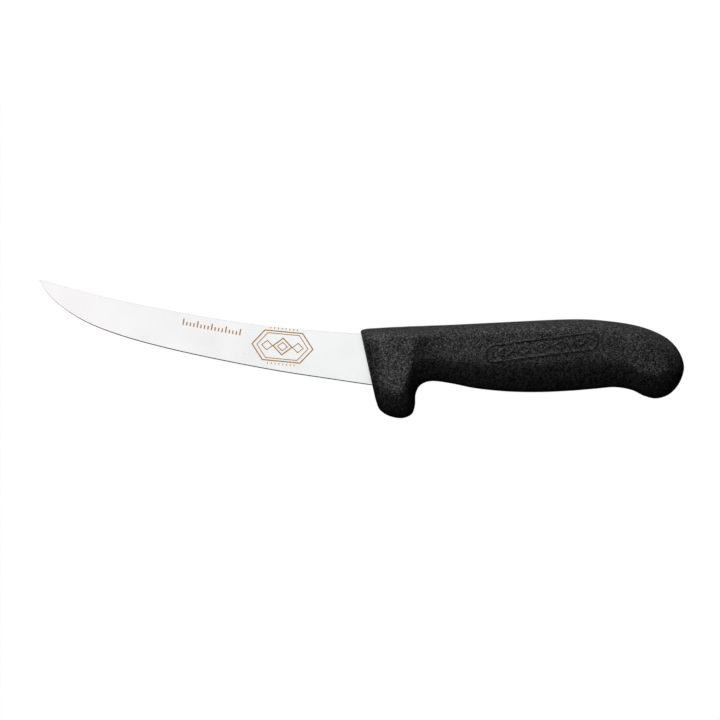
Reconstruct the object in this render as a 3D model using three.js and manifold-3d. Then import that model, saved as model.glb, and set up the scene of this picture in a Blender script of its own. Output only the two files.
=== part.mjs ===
// Curved butcher's boning knife, lying on its side. Millimetres, +Z up.
//
// The drawing frame puts its origin where the handle's front face meets the spine: X runs
// from the tip of the blade to the butt of the handle, Y from the cutting edge to the spine,
// and Z across the knife, with the middle of the blade's thickness at Z = 0.
//
// Three pieces make the knife, in the order in which they are made:
//   blade        one steel blank: the ground blade, and the flat tang that the handle hides
//   handle_core  first shot, hard plastic, locked to the tang by lugs through its holes
//   handle_grip  second shot, the grained outer handle with its finger guard and hooked butt

import * as THREE from "three";
import { mergeVertices } from "three/addons/utils/BufferGeometryUtils.js";
import Module from "manifold-3d";

const wasm = await Module();
wasm.setup();

// ---- Driving dimensions ---------------------------------------------------------------

const STEEL_HALF = 1.25; // half the thickness of the blank, at the tang and the heel's spine
const TIP_HALF = 0.35; // half the thickness of the spine at the tip
const EDGE_HALF = 0.05; // half the width of the cutting edge itself
const BEVEL_DEPTH = 1.0; // how far the sharpened bevel reaches up from the edge
const BEVEL_HALF = 0.3; // half the thickness of the blade where the bevel starts

const TANG_END = 98; // X of the tang's rounded end
const TANG_TOP = -5; // Y of the tang's upper side
const TANG_HEIGHT_FRONT = 15.5;
const TANG_HEIGHT_END = 11;
const TANG_HOLE_RADIUS = 3;
const TANG_HOLES_X = [26, 52, 78];
const TANG_INSIDE_FACE = 2.5; // how far behind the handle's front face the tang starts

const REST_HALF_WIDTH = 12; // the widest places of the grip are flat here, so that it lies still
const GRIP_WALL = 3.5; // thickness of the grip over its core
const FRONT_WALL = 4; // the same at the front face, where the grip seals against the blade
const FIT_GAP = 0.3; // gap kept between pieces that are moulded onto each other

// The front face leans back from the spine to the guard, by this much X for each unit of Y.
const FRONT_LEAN = 0.22;

// Blade ribs, tip to heel. Each joins a point of the spine to one of the cutting edge.
const BLADE_RIBS = [
  { spine: [-143.3, 22.6], edge: [-143.1, 22.2] },
  { spine: [-139.5, 21.5], edge: [-139.4, 16.4] },
  { spine: [-133, 19.7], edge: [-132, 9.6] },
  { spine: [-122.5, 16.9], edge: [-121, 3] },
  { spine: [-107, 13.2], edge: [-106, -2.7] },
  { spine: [-87, 9.1], edge: [-87, -7.9] },
  { spine: [-64, 5], edge: [-64, -13] },
  { spine: [-38, 1.3], edge: [-38, -18] },
  { spine: [-15, -0.6], edge: [-14, -21.7] },
  { spine: [4, -1.8], edge: [7, -24.8] },
];

// Handle ribs, front face to butt. A rib crosses one cheek of the handle through four points:
// back on the spine line, shoulder where the rounded back turns into the cheek, hip where the
// cheek turns under, and belly on the finger line. wide is half the handle's width at the shoulder.
const HANDLE_RIBS = [
  // front face
  { back: [-0.4, 0], shoulder: [1, -6.4], hip: [4.66, -23], belly: [6.4, -30.9], wide: 8.4 },
  // finger guard
  { back: [2.5, 0.75], shoulder: [3.2, -5.6], hip: [7.2, -26.2], belly: [8.2, -35.2], wide: 10.2 },
  { back: [7, 1.05], shoulder: [7.2, -5.2], hip: [11, -28.2], belly: [12.2, -38], wide: 11.6 },
  { back: [12.5, 1.4], shoulder: [12.2, -5], hip: [15.4, -29.2], belly: [18, -39.1], wide: 12.4 },
  { back: [17.5, 1.6], shoulder: [16.8, -4.9], hip: [18.6, -28.4], belly: [22.5, -37.3], wide: 12.6 },
  { back: [21, 1.8], shoulder: [20.4, -4.8], hip: [20, -25.4], belly: [24, -33.2], wide: 12.6 },
  // finger notch
  { back: [24, 1.9], shoulder: [23.6, -4.6], hip: [21.3, -20.6], belly: [24.3, -28.3], wide: 12.4 },
  { back: [27.5, 2], shoulder: [27.3, -4.4], hip: [24.6, -15], belly: [26.5, -24.3], wide: 11.5 },
  { back: [32, 2.2], shoulder: [32, -4.2], hip: [30.8, -12.6], belly: [31.5, -22.6], wide: 10.5 },
  { back: [40, 2.5], shoulder: [40, -3.8], hip: [39.8, -13.2], belly: [40, -23.6], wide: 10.2 },
  // palm swell
  { back: [51, 3.05], shoulder: [51, -3.3], hip: [51, -14.2], belly: [51, -25.8], wide: 10.5 },
  { back: [65, 3.75], shoulder: [65, -2.7], hip: [65, -15], belly: [65, -27.2], wide: 10.9 },
  { back: [79, 4.45], shoulder: [79, -2.1], hip: [79, -14.8], belly: [79, -27.5], wide: 11.2 },
  { back: [92, 4.95], shoulder: [92, -1.9], hip: [92.8, -14], belly: [93, -26.9], wide: 11.2 },
  // waist in front of the butt
  { back: [102, 4.85], shoulder: [102, -2.4], hip: [103.8, -13.8], belly: [104, -26], wide: 11 },
  { back: [111, 4.05], shoulder: [110.5, -3.6], hip: [112.5, -14.2], belly: [113, -25.3], wide: 11 },
  // hooked butt
  { back: [118.5, 3], shoulder: [117, -5.2], hip: [119, -15.6], belly: [120.5, -26.6], wide: 11.3 },
  { back: [125, 1.5], shoulder: [122.5, -7.4], hip: [124, -18.6], belly: [126, -29.2], wide: 11.9 },
  { back: [131.5, -0.9], shoulder: [127.5, -10], hip: [129.5, -19.6], belly: [131.5, -30.3], wide: 12.4 },
  { back: [137.3, -4.4], shoulder: [131.5, -12.8], hip: [134.4, -18.8], belly: [137.3, -28.3], wide: 12.5 },
  { back: [141.6, -9.6], shoulder: [133.8, -15.2], hip: [137.7, -18], belly: [141.6, -23.4], wide: 12.2 },
  { back: [143.7, -16.4], shoulder: [134.8, -16.8], hip: [139.25, -16.6], belly: [143.7, -16.4], wide: 11.8 },
];

const HIP_SOFTNESS = 0.1; // share of the cheek's way to the belly over which it turns under
const BELLY_CROWDING = 1.5; // how much closer the facets lie at the belly than on the cheek
const BUTT_FADE_START = 0.85; // share of the ribs past which the section fades to an ellipse

const RIB_STEPS = 2; // sections between two ribs
const FALL_STEPS = 9; // facets from the shoulder to the spine line, and to the belly line

// ---- Geometry helpers -----------------------------------------------------------------

// A smooth rail through one column of the ribs. pick gives the column's [x, y] and its z.
function rail(ribs, pick) {
  const points = ribs.map((rib) => new THREE.Vector3(...pick(rib)));
  return new THREE.CatmullRomCurve3(points, false, "catmullrom", 0.5);
}

// A loft over rings of equally many points, given in order from one end to the other. The first
// ring is closed with a flat face, and so is the last unless it is folded shut on itself.
function loft(rings, foldedEnd = false) {
  const positions = [];
  const triangle = (a, b, c) => {
    const flat = a.distanceTo(b) < 1e-6 || b.distanceTo(c) < 1e-6 || c.distanceTo(a) < 1e-6;
    if (!flat) positions.push(...a, ...b, ...c);
  };
  const size = rings[0].length;
  for (let i = 0; i + 1 < rings.length; i++) {
    for (let j = 0; j < size; j++) {
      const next = (j + 1) % size;
      triangle(rings[i][j], rings[i][next], rings[i + 1][next]);
      triangle(rings[i][j], rings[i + 1][next], rings[i + 1][j]);
    }
  }
  const first = rings[0];
  const last = rings[rings.length - 1];
  for (let j = 1; j + 1 < size; j++) {
    triangle(first[0], first[j + 1], first[j]);
    if (!foldedEnd) triangle(last[0], last[j], last[j + 1]);
  }
  const geometry = new THREE.BufferGeometry();
  return geometry.setAttribute("position", new THREE.Float32BufferAttribute(positions, 3));
}

function toSolid(geometry) {
  const bare = new THREE.BufferGeometry().setAttribute("position", geometry.getAttribute("position"));
  bare.setIndex(geometry.index);
  const merged = mergeVertices(bare, 1e-4);
  const vertProperties = merged.attributes.position.array;
  const triVerts = new Uint32Array(merged.index.array);
  return new wasm.Manifold(new wasm.Mesh({ numProp: 3, vertProperties, triVerts }));
}

function toGeometry(solid) {
  const mesh = solid.getMesh();
  const geometry = new THREE.BufferGeometry();
  geometry.setAttribute("position", new THREE.BufferAttribute(mesh.vertProperties, 3));
  geometry.setIndex(new THREE.BufferAttribute(mesh.triVerts, 1));
  geometry.computeVertexNormals();
  return geometry;
}

// X of the handle's front face at height y.
function frontFaceX(y) {
  const [faceX, faceY] = HANDLE_RIBS[0].back;
  return faceX - FRONT_LEAN * (y - faceY);
}

// ---- Blade ----------------------------------------------------------------------------

// The ground blade, from tip to heel. grow swells it on every side, for the slot it sits in.
function groundBlade(grow) {
  const spine = rail(BLADE_RIBS, (rib) => [...rib.spine, 0]);
  const edge = rail(BLADE_RIBS, (rib) => [...rib.edge, 0]);
  const sections = (BLADE_RIBS.length - 1) * RIB_STEPS * 2;
  const rings = [];
  for (let i = 0; i <= sections; i++) {
    const t = i / sections;
    const top = spine.getPoint(t);
    const bottom = edge.getPoint(t);
    const height = top.distanceTo(bottom);
    const spineHalf = THREE.MathUtils.lerp(TIP_HALF, STEEL_HALF, Math.sqrt(t));
    const bevelShare = Math.min(BEVEL_DEPTH / height, 0.5);
    const bevelHalf = Math.min(BEVEL_HALF, spineHalf * 0.6);
    const shoulder = bottom.clone().lerp(top, bevelShare);
    const heelGrow = i === sections ? grow : 0;
    top.add(new THREE.Vector3(heelGrow, grow, 0));
    bottom.add(new THREE.Vector3(heelGrow, -grow, 0));
    const half = [
      [top, spineHalf + grow],
      [shoulder, bevelHalf + grow],
      [bottom, EDGE_HALF + grow],
    ];
    const near = half.map(([point, z]) => new THREE.Vector3(point.x, point.y, z));
    const far = half.map(([point, z]) => new THREE.Vector3(point.x, point.y, -z)).reverse();
    rings.push([...near, ...far]);
  }
  return toSolid(loft(rings));
}

// The flat tang, with the holes that the core's lugs fill.
function tang(grow) {
  const endRadius = TANG_HEIGHT_END / 2 + grow;
  const top = TANG_TOP + grow;
  const bottom = TANG_TOP - TANG_HEIGHT_FRONT - grow;
  const endX = TANG_END + grow - endRadius;
  const outline = new THREE.Shape();
  outline.moveTo(frontFaceX(top) + TANG_INSIDE_FACE, top);
  outline.lineTo(frontFaceX(bottom) + TANG_INSIDE_FACE, bottom);
  outline.lineTo(endX, top - 2 * endRadius);
  outline.absarc(endX, top - endRadius, endRadius, -Math.PI / 2, Math.PI / 2, false);
  outline.closePath();
  for (const x of TANG_HOLES_X) {
    const hole = new THREE.Path();
    hole.absarc(x, top - endRadius, TANG_HOLE_RADIUS - grow, 0, 2 * Math.PI, true);
    outline.holes.push(hole);
  }
  const depth = 2 * (STEEL_HALF + grow);
  const slab = new THREE.ExtrudeGeometry(outline, { depth, bevelEnabled: false, curveSegments: 12 });
  return toSolid(slab.translate(0, 0, -depth / 2));
}

function bladeSolid(grow) {
  return groundBlade(grow).add(tang(grow));
}

// ---- Handle ---------------------------------------------------------------------------

// The rib before the last, folded over. It leads the rails on past the end of the butt, so that
// the upper and the lower side of the handle meet there without a crease.
function foldedRib() {
  const { back, shoulder, belly, wide } = HANDLE_RIBS.at(-2);
  const hip = [(shoulder[0] + back[0]) / 2, (shoulder[1] + back[1]) / 2];
  return { back: belly, shoulder, hip, belly: back, wide };
}

// The handle's outer form, moved in by inset on every side but the front face.
function handleForm(inset) {
  const ribs = [...HANDLE_RIBS, foldedRib()];
  const back = rail(ribs, (rib) => [...rib.back, 0]);
  const shoulder = rail(ribs, (rib) => [...rib.shoulder, rib.wide]);
  const hip = rail(ribs, (rib) => [...rib.hip, 0]);
  const belly = rail(ribs, (rib) => [...rib.belly, 0]);
  const sections = (HANDLE_RIBS.length - 1) * RIB_STEPS;
  const rings = [];
  for (let i = 0; i <= sections; i++) {
    const t = i / (sections + RIB_STEPS);
    const crown = shoulder.getPoint(t);
    const half = crown.z - inset;
    crown.z = 0;
    const fade = THREE.MathUtils.smoothstep(i / sections, BUTT_FADE_START, 1);
    const upper = fall(straightPath(crown, back.getPoint(t), inset), half, inset);
    const lower = fall(bentPath(crown, hip.getPoint(t), belly.getPoint(t), inset), half, inset, fade);
    const side = [...upper.reverse(), ...lower.slice(1)];
    const mirrored = side.map((p) => new THREE.Vector3(p.x, p.y, -p.z));
    rings.push([...side, ...mirrored.reverse().slice(1, -1)]);
  }
  return toSolid(loft(rings, true));
}

// The ways from the crown of the cheek out to the outline, seen from the side. Each stops short
// of the outline by inset. bend is the share of the way at which the surface turns under.
function straightPath(crown, end, inset) {
  const stop = end.clone().lerp(crown, inset / end.distanceTo(crown));
  return { curve: new THREE.LineCurve3(crown, stop), bend: 0 };
}

function bentPath(crown, bend, end, inset) {
  const stop = end.clone().lerp(bend, inset / end.distanceTo(bend));
  const share = crown.distanceTo(bend) / (crown.distanceTo(bend) + bend.distanceTo(stop));
  const pull = 2 * share * (1 - share);
  const control = bend
    .clone()
    .addScaledVector(crown, -((1 - share) ** 2))
    .addScaledVector(stop, -(share ** 2))
    .divideScalar(pull);
  return { curve: new THREE.QuadraticBezierCurve3(crown, control, stop), bend: share };
}

// How far a section has turned under, from 0 at the crown to 1 at the outline: hardly at all up to
// the bend, and evenly past it.
function turned(share, bend) {
  const start = Math.hypot(bend, HIP_SOFTNESS);
  const rise = (s) => (s * bend) / start + Math.hypot(s - bend, HIP_SOFTNESS) - start;
  return rise(share) / rise(1);
}

// The surface over such a way: half high at the crown, and down to nothing at the outline. It is
// a quarter ellipse where fade is 1. Where the handle is widest it is cut flat, to rest on.
function fall({ curve, bend }, half, inset, fade = 1) {
  const crowding = THREE.MathUtils.lerp(BELLY_CROWDING, 1, fade);
  const points = [];
  for (let j = 0; j <= FALL_STEPS; j++) {
    const angle = (j / FALL_STEPS) * (Math.PI / 2);
    const share = Math.sin(angle) ** (1 / crowding);
    const drop = THREE.MathUtils.lerp(turned(share, bend), share ** 2, fade);
    const point = curve.getPoint(share);
    point.z = Math.min(half * Math.sqrt(Math.max(1 - drop, 0)), REST_HALF_WIDTH - inset);
    points.push(point);
  }
  return points;
}

// Everything that lies at least depth behind the handle's front face.
function behindFrontFace(depth) {
  const size = 400;
  const block = new THREE.BoxGeometry(size, size, size);
  block.translate(size / 2, 0, 0);
  block.rotateZ(Math.atan(FRONT_LEAN));
  const [faceX, faceY] = HANDLE_RIBS[0].back;
  block.translate(faceX + depth * Math.hypot(1, FRONT_LEAN), faceY, 0);
  return toSolid(block);
}

function coreSolid() {
  const form = handleForm(GRIP_WALL).intersect(behindFrontFace(FRONT_WALL));
  return form.subtract(bladeSolid(FIT_GAP));
}

function gripSolid() {
  const cavity = handleForm(GRIP_WALL - FIT_GAP).intersect(behindFrontFace(FRONT_WALL - FIT_GAP));
  return handleForm(0).subtract(cavity).subtract(bladeSolid(FIT_GAP));
}

// ---- Materials and assembly -----------------------------------------------------------

const steel = new THREE.MeshStandardMaterial({ color: 0xc9cbcc, roughness: 0.28, metalness: 1 });
const corePlastic = new THREE.MeshStandardMaterial({ color: 0x6f7276, roughness: 0.7, metalness: 0 });
const gripPlastic = new THREE.MeshStandardMaterial({ color: 0x151516, roughness: 0.55, metalness: 0 });

function piece(name, solid, material) {
  const mesh = new THREE.Mesh(toGeometry(solid), material);
  mesh.name = name;
  return mesh;
}

const knife = new THREE.Group();
knife.add(piece("blade", bladeSolid(0), steel));
knife.add(piece("handle_core", coreSolid(), corePlastic));
knife.add(piece("handle_grip", gripSolid(), gripPlastic));

// The part's origin is under the middle of the knife, on the surface that it lies on.
const bounds = new THREE.Box3().setFromObject(knife);
const middle = bounds.getCenter(new THREE.Vector3());
knife.position.set(-middle.x, -middle.y, -bounds.min.z);

export default knife;
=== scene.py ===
"""Looks of a butcher's curved boning knife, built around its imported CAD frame.

Three sub-assemblies make the knife: the Blade with its laser marks, the HandleCore and the
HandleGrip. The Studio holds the floor, the lights and the camera.

The sizes of the knife are in millimetres of its drawing, whose origin is where the handle's
front face meets the spine: u runs from the tip to the butt, v from the cutting edge to the
spine, and w across the knife from the middle plane of the blade. The Drawing turns them into
the metres of the CAD frame.
"""

import logging
import math
from dataclasses import dataclass, field
from enum import Enum
from typing import Iterable, Sequence

import bmesh
import bpy
import numpy as np
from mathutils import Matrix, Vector


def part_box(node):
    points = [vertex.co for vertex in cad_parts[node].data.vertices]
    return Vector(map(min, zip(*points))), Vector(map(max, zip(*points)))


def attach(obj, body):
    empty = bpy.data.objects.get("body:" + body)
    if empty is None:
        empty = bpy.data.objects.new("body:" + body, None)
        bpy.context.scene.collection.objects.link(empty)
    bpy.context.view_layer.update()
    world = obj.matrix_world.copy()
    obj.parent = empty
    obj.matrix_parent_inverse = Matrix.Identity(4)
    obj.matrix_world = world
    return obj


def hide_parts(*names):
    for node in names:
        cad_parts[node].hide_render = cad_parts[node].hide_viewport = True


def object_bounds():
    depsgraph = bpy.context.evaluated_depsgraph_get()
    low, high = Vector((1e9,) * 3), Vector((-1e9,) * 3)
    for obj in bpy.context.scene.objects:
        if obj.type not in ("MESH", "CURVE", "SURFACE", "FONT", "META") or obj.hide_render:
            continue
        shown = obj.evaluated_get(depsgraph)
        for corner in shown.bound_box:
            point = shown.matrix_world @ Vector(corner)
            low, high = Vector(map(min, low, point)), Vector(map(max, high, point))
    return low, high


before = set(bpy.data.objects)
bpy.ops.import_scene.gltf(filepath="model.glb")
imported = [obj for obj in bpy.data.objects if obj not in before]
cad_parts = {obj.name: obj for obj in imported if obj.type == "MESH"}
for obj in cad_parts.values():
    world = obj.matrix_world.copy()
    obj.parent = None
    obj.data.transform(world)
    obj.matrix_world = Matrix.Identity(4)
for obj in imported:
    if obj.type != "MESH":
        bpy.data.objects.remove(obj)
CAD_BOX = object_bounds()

log = logging.getLogger("boning_knife")

MM = 0.001
ROOT_BODY = "root"

Colour = tuple[float, float, float]
Pair = tuple[float, float]


# ---- The drawing ----------------------------------------------------------------------


@dataclass(frozen=True)
class HandleRib:
    """One line across the handle's cheek, from the spine line to the finger line.

    back and belly lie on the outline, shoulder is where the rounded back turns into the
    cheek, hip is where the cheek turns under, and wide is half the width at the shoulder.
    """

    back: Pair
    shoulder: Pair
    hip: Pair
    belly: Pair
    wide: float


HANDLE_RIBS = (
    # front face
    HandleRib((-0.4, 0), (1, -6.4), (4.66, -23), (6.4, -30.9), 8.4),
    # finger guard
    HandleRib((2.5, 0.75), (3.2, -5.6), (7.2, -26.2), (8.2, -35.2), 10.2),
    HandleRib((7, 1.05), (7.2, -5.2), (11, -28.2), (12.2, -38), 11.6),
    HandleRib((12.5, 1.4), (12.2, -5), (15.4, -29.2), (18, -39.1), 12.4),
    HandleRib((17.5, 1.6), (16.8, -4.9), (18.6, -28.4), (22.5, -37.3), 12.6),
    HandleRib((21, 1.8), (20.4, -4.8), (20, -25.4), (24, -33.2), 12.6),
    # finger notch
    HandleRib((24, 1.9), (23.6, -4.6), (21.3, -20.6), (24.3, -28.3), 12.4),
    HandleRib((27.5, 2), (27.3, -4.4), (24.6, -15), (26.5, -24.3), 11.5),
    HandleRib((32, 2.2), (32, -4.2), (30.8, -12.6), (31.5, -22.6), 10.5),
    HandleRib((40, 2.5), (40, -3.8), (39.8, -13.2), (40, -23.6), 10.2),
    # palm swell
    HandleRib((51, 3.05), (51, -3.3), (51, -14.2), (51, -25.8), 10.5),
    HandleRib((65, 3.75), (65, -2.7), (65, -15), (65, -27.2), 10.9),
    HandleRib((79, 4.45), (79, -2.1), (79, -14.8), (79, -27.5), 11.2),
    HandleRib((92, 4.95), (92, -1.9), (92.8, -14), (93, -26.9), 11.2),
    # waist in front of the butt
    HandleRib((102, 4.85), (102, -2.4), (103.8, -13.8), (104, -26), 11),
    HandleRib((111, 4.05), (110.5, -3.6), (112.5, -14.2), (113, -25.3), 11),
    # hooked butt
    HandleRib((118.5, 3), (117, -5.2), (119, -15.6), (120.5, -26.6), 11.3),
    HandleRib((125, 1.5), (122.5, -7.4), (124, -18.6), (126, -29.2), 11.9),
    HandleRib((131.5, -0.9), (127.5, -10), (129.5, -19.6), (131.5, -30.3), 12.4),
    HandleRib((137.3, -4.4), (131.5, -12.8), (134.4, -18.8), (137.3, -28.3), 12.5),
    HandleRib((141.6, -9.6), (133.8, -15.2), (137.7, -18), (141.6, -23.4), 12.2),
    HandleRib((143.7, -16.4), (134.8, -16.8), (139.25, -16.6), (143.7, -16.4), 11.8),
)
FRONT_LEAN = 0.22  # how far the front face leans towards the butt for each millimetre down


@dataclass(frozen=True)
class BladeRib:
    """One line across the blade, from its spine to its cutting edge."""

    spine: Pair
    edge: Pair


BLADE_RIBS = (
    BladeRib((-143.3, 22.6), (-143.1, 22.2)),
    BladeRib((-139.5, 21.5), (-139.4, 16.4)),
    BladeRib((-133, 19.7), (-132, 9.6)),
    BladeRib((-122.5, 16.9), (-121, 3)),
    BladeRib((-107, 13.2), (-106, -2.7)),
    BladeRib((-87, 9.1), (-87, -7.9)),
    BladeRib((-64, 5), (-64, -13)),
    BladeRib((-38, 1.3), (-38, -18)),
    BladeRib((-15, -0.6), (-14, -21.7)),
    BladeRib((4, -1.8), (7, -24.8)),
)


class Drawing:
    """Places the drawing's millimetres in the CAD frame's metres."""

    def __init__(self) -> None:
        """Finds the drawing's origin from the handle's own box."""
        low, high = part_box("handle_grip")
        front = min(rib.back[0] for rib in HANDLE_RIBS)
        top = max(rib.back[1] for rib in HANDLE_RIBS)
        middle = (low.z + high.z) / 2
        self.origin = np.array([low.x - front * MM, high.y - top * MM, middle])

    def place(self, points: np.ndarray) -> np.ndarray:
        """Turns drawing points into frame points.

        Args:
            points: u, v, w in millimetres, along the last axis.

        Returns:
            The same points as x, y, z in metres.
        """
        return self.origin + np.asarray(points, float) * MM


class Rail:
    """A smooth line through the same point of each rib: a uniform Catmull-Rom spline."""

    def __init__(self, points: Sequence[Sequence[float]]) -> None:
        """Keeps the points, with one more led on past each end.

        Args:
            points: the points that the line passes through, in order.
        """
        core = np.array(points, float)
        before = 2 * core[0] - core[1]
        after = 2 * core[-1] - core[-2]
        self.points = np.vstack([before, core, after])
        self.last = len(core) - 1

    def at(self, station: float) -> np.ndarray:
        """The point at a station, which counts the ribs from 0 and may lie between two."""
        step = min(int(station), self.last - 1)
        t = station - step
        p0, p1, p2, p3 = self.points[step : step + 4]
        lead = (p2 - p0) / 2
        leave = (p3 - p1) / 2
        bend = (2 * p1 - 2 * p2 + lead + leave) * t**3
        return bend + (-3 * p1 + 3 * p2 - 2 * lead - leave) * t**2 + lead * t + p1


def smoothstep(value: float, low: float, high: float) -> float:
    """0 up to low, 1 from high on, and a smooth rise between them."""
    share = min(max((value - low) / (high - low), 0.0), 1.0)
    return share * share * (3 - 2 * share)


# ---- Meshes ---------------------------------------------------------------------------


@dataclass
class MeshDraft:
    """Vertices and faces of a piece while it is being made."""

    vertices: list[np.ndarray] = field(default_factory=list)
    faces: list[tuple[int, ...]] = field(default_factory=list)

    def add_ring(self, points: np.ndarray) -> range:
        """Adds the points of a ring, and gives their places in the list."""
        start = len(self.vertices)
        self.vertices.extend(points)
        return range(start, start + len(points))

    def join_rings(self, first: range, second: range) -> None:
        """Joins two closed rings of equally many points with quads.

        Args:
            first: the ring to start from.
            second: the next ring, with its points in the same order.
        """
        size = len(first)
        for j in range(size):
            k = (j + 1) % size
            self.faces.append((first[j], first[k], second[k], second[j]))

    def loft(self, rings: Iterable[np.ndarray]) -> list[range]:
        """Adds rings and joins each one to the next."""
        placed = [self.add_ring(ring) for ring in rings]
        for first, second in zip(placed, placed[1:]):
            self.join_rings(first, second)
        return placed

    def cap(self, ring: range) -> None:
        """Closes a ring whose second half runs back under its first with a strip of quads."""
        size = len(ring)
        for j in range(size // 2 - 1):
            self.faces.append((ring[j], ring[j + 1], ring[size - 2 - j], ring[size - 1 - j]))

    def finish(self, name: str, drawing: Drawing, weld: float = 1e-6) -> bpy.types.Object:
        """Makes a Blender object of the draft.

        Args:
            name: the object's name.
            drawing: places the draft's millimetres.
            weld: points closer than this, in metres, become one.

        Returns:
            The object, linked to the scene, with smooth faces that point outwards.
        """
        mesh = bpy.data.meshes.new(name)
        mesh.from_pydata(drawing.place(np.array(self.vertices)).tolist(), [], self.faces)
        shape = bmesh.new()
        shape.from_mesh(mesh)
        bmesh.ops.remove_doubles(shape, verts=shape.verts, dist=weld)
        bmesh.ops.dissolve_degenerate(shape, edges=shape.edges, dist=weld)
        bmesh.ops.recalc_face_normals(shape, faces=shape.faces)
        for face in shape.faces:
            face.smooth = True
        shape.to_mesh(mesh)
        shape.free()
        return add_object(name, mesh)


def add_object(name: str, data: bpy.types.ID) -> bpy.types.Object:
    """Links a new object to the scene."""
    made = bpy.data.objects.new(name, data)
    bpy.context.scene.collection.objects.link(made)
    return made


def crease(piece: bpy.types.Object, degrees: float) -> None:
    """Keeps the shading sharp along a piece's edges that turn by more than some degrees."""
    shape = bmesh.new()
    shape.from_mesh(piece.data)
    for edge in shape.edges:
        if len(edge.link_faces) == 2:
            edge.smooth = edge.calc_face_angle() < math.radians(degrees)
    shape.to_mesh(piece.data)
    shape.free()


def dress(piece: bpy.types.Object, material: bpy.types.Material) -> None:
    """Gives a piece one material."""
    piece.data.materials.clear()
    piece.data.materials.append(material)


# ---- Shader node groups ---------------------------------------------------------------


class NodeSheet:
    """Adds and joins the nodes of a material or a node group."""

    def __init__(self, tree: bpy.types.NodeTree) -> None:
        """Takes the node tree that the sheet writes to."""
        self.tree = tree

    def add(self, kind: str, **values: object) -> bpy.types.Node:
        """Adds a node.

        Args:
            kind: the node's type, as Blender names it.
            values: properties of the node.

        Returns:
            The new node.
        """
        node = self.tree.nodes.new(kind)
        for name, value in values.items():
            setattr(node, name, value)
        return node

    def join(self, source: bpy.types.NodeSocket, target: bpy.types.NodeSocket) -> None:
        """Joins an output to an input."""
        self.tree.links.new(source, target)

    def math(self, operation: str, *operands: object) -> bpy.types.NodeSocket:
        """Adds a Math node on sockets and numbers, and gives its output."""
        node = self.add("ShaderNodeMath", operation=operation)
        for place, operand in enumerate(operands):
            if isinstance(operand, bpy.types.NodeSocket):
                self.join(operand, node.inputs[place])
            else:
                node.inputs[place].default_value = operand
        return node.outputs[0]

    def place(self) -> bpy.types.NodeSocket:
        """Adds the object's own coordinates, which are metres of the CAD frame."""
        return self.add("ShaderNodeTexCoord").outputs["Object"]

    def axes(self) -> bpy.types.bpy_prop_collection:
        """Adds the object's own coordinates, split into X, Y and Z."""
        parts = self.add("ShaderNodeSeparateXYZ")
        self.join(self.place(), parts.inputs[0])
        return parts.outputs

    def noise(
        self, vector: bpy.types.NodeSocket, scale: object, detail: float, roughness: float
    ) -> bpy.types.NodeSocket:
        """Adds a Noise Texture.

        Args:
            vector: where it is read.
            scale: its scale, as a number or a socket.
            detail: how many finer layers it has.
            roughness: how strong the finer layers are.

        Returns:
            Its value output.
        """
        node = self.add("ShaderNodeTexNoise", noise_dimensions="3D")
        self.join(vector, node.inputs["Vector"])
        if isinstance(scale, bpy.types.NodeSocket):
            self.join(scale, node.inputs["Scale"])
        else:
            node.inputs["Scale"].default_value = scale
        node.inputs["Detail"].default_value = detail
        node.inputs["Roughness"].default_value = roughness
        return node.outputs[0]


@dataclass(frozen=True)
class GroupSocket:
    """One input or output of a shader node group."""

    name: str
    kind: str = "NodeSocketFloat"
    default: float = 0.0


class EffectGroup:
    """A shader node group, built once and placed in each material that needs it."""

    name = "effect"
    inputs: tuple[GroupSocket, ...] = ()
    outputs: tuple[GroupSocket, ...] = ()

    def tree(self) -> bpy.types.NodeTree:
        """The group's node tree, which is built when it is first asked for."""
        found = bpy.data.node_groups.get(self.name)
        if found is not None:
            return found
        tree = bpy.data.node_groups.new(self.name, "ShaderNodeTree")
        for socket in self.inputs:
            made = tree.interface.new_socket(socket.name, in_out="INPUT", socket_type=socket.kind)
            made.default_value = socket.default
        for socket in self.outputs:
            tree.interface.new_socket(socket.name, in_out="OUTPUT", socket_type=socket.kind)
        sheet = NodeSheet(tree)
        self.draw(sheet, sheet.add("NodeGroupInput"), sheet.add("NodeGroupOutput"))
        return tree

    def draw(self, sheet: NodeSheet, entry: bpy.types.Node, leave: bpy.types.Node) -> None:
        """Draws the group's nodes between its input node and its output node."""
        raise NotImplementedError

    def put(self, sheet: NodeSheet, **values: float) -> bpy.types.Node:
        """Places the group in a material.

        Args:
            sheet: the material's nodes.
            values: the group's inputs, with spaces in their names as underscores.

        Returns:
            The group node.
        """
        node = sheet.add("ShaderNodeGroup")
        node.node_tree = self.tree()
        for name, value in values.items():
            node.inputs[name.replace("_", " ")].default_value = value
        return node


class MouldedGrain(EffectGroup):
    """Grain of a spark-eroded mould: close grains, each with a height of its own."""

    name = "moulded_grain"
    inputs = (
        GroupSocket("Grain Size", default=0.001),
        GroupSocket("Unevenness", default=0.5),
    )
    outputs = (GroupSocket("Height"), GroupSocket("Peaks"))

    def draw(self, sheet: NodeSheet, entry: bpy.types.Node, leave: bpy.types.Node) -> None:
        """Draws rounded cells, raised by a number that each cell draws at random."""
        cells = sheet.add("ShaderNodeTexVoronoi", feature="F1")
        sheet.join(sheet.place(), cells.inputs["Vector"])
        sheet.join(sheet.math("DIVIDE", 1.0, entry.outputs["Grain Size"]), cells.inputs["Scale"])
        luck = sheet.add("ShaderNodeSeparateColor")
        sheet.join(cells.outputs["Color"], luck.inputs[0])
        raised = sheet.math("MULTIPLY", luck.outputs[0], entry.outputs["Unevenness"])
        height = sheet.math("SUBTRACT", raised, cells.outputs["Distance"])
        sheet.join(height, leave.inputs["Height"])
        # Peaks marks the raised grains; the grained plastic paints them lighter as glints and the
        # lower grains darker as shade.
        sheet.join(sheet.math("POWER", luck.outputs[0], 2.0), leave.inputs["Peaks"])


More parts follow.
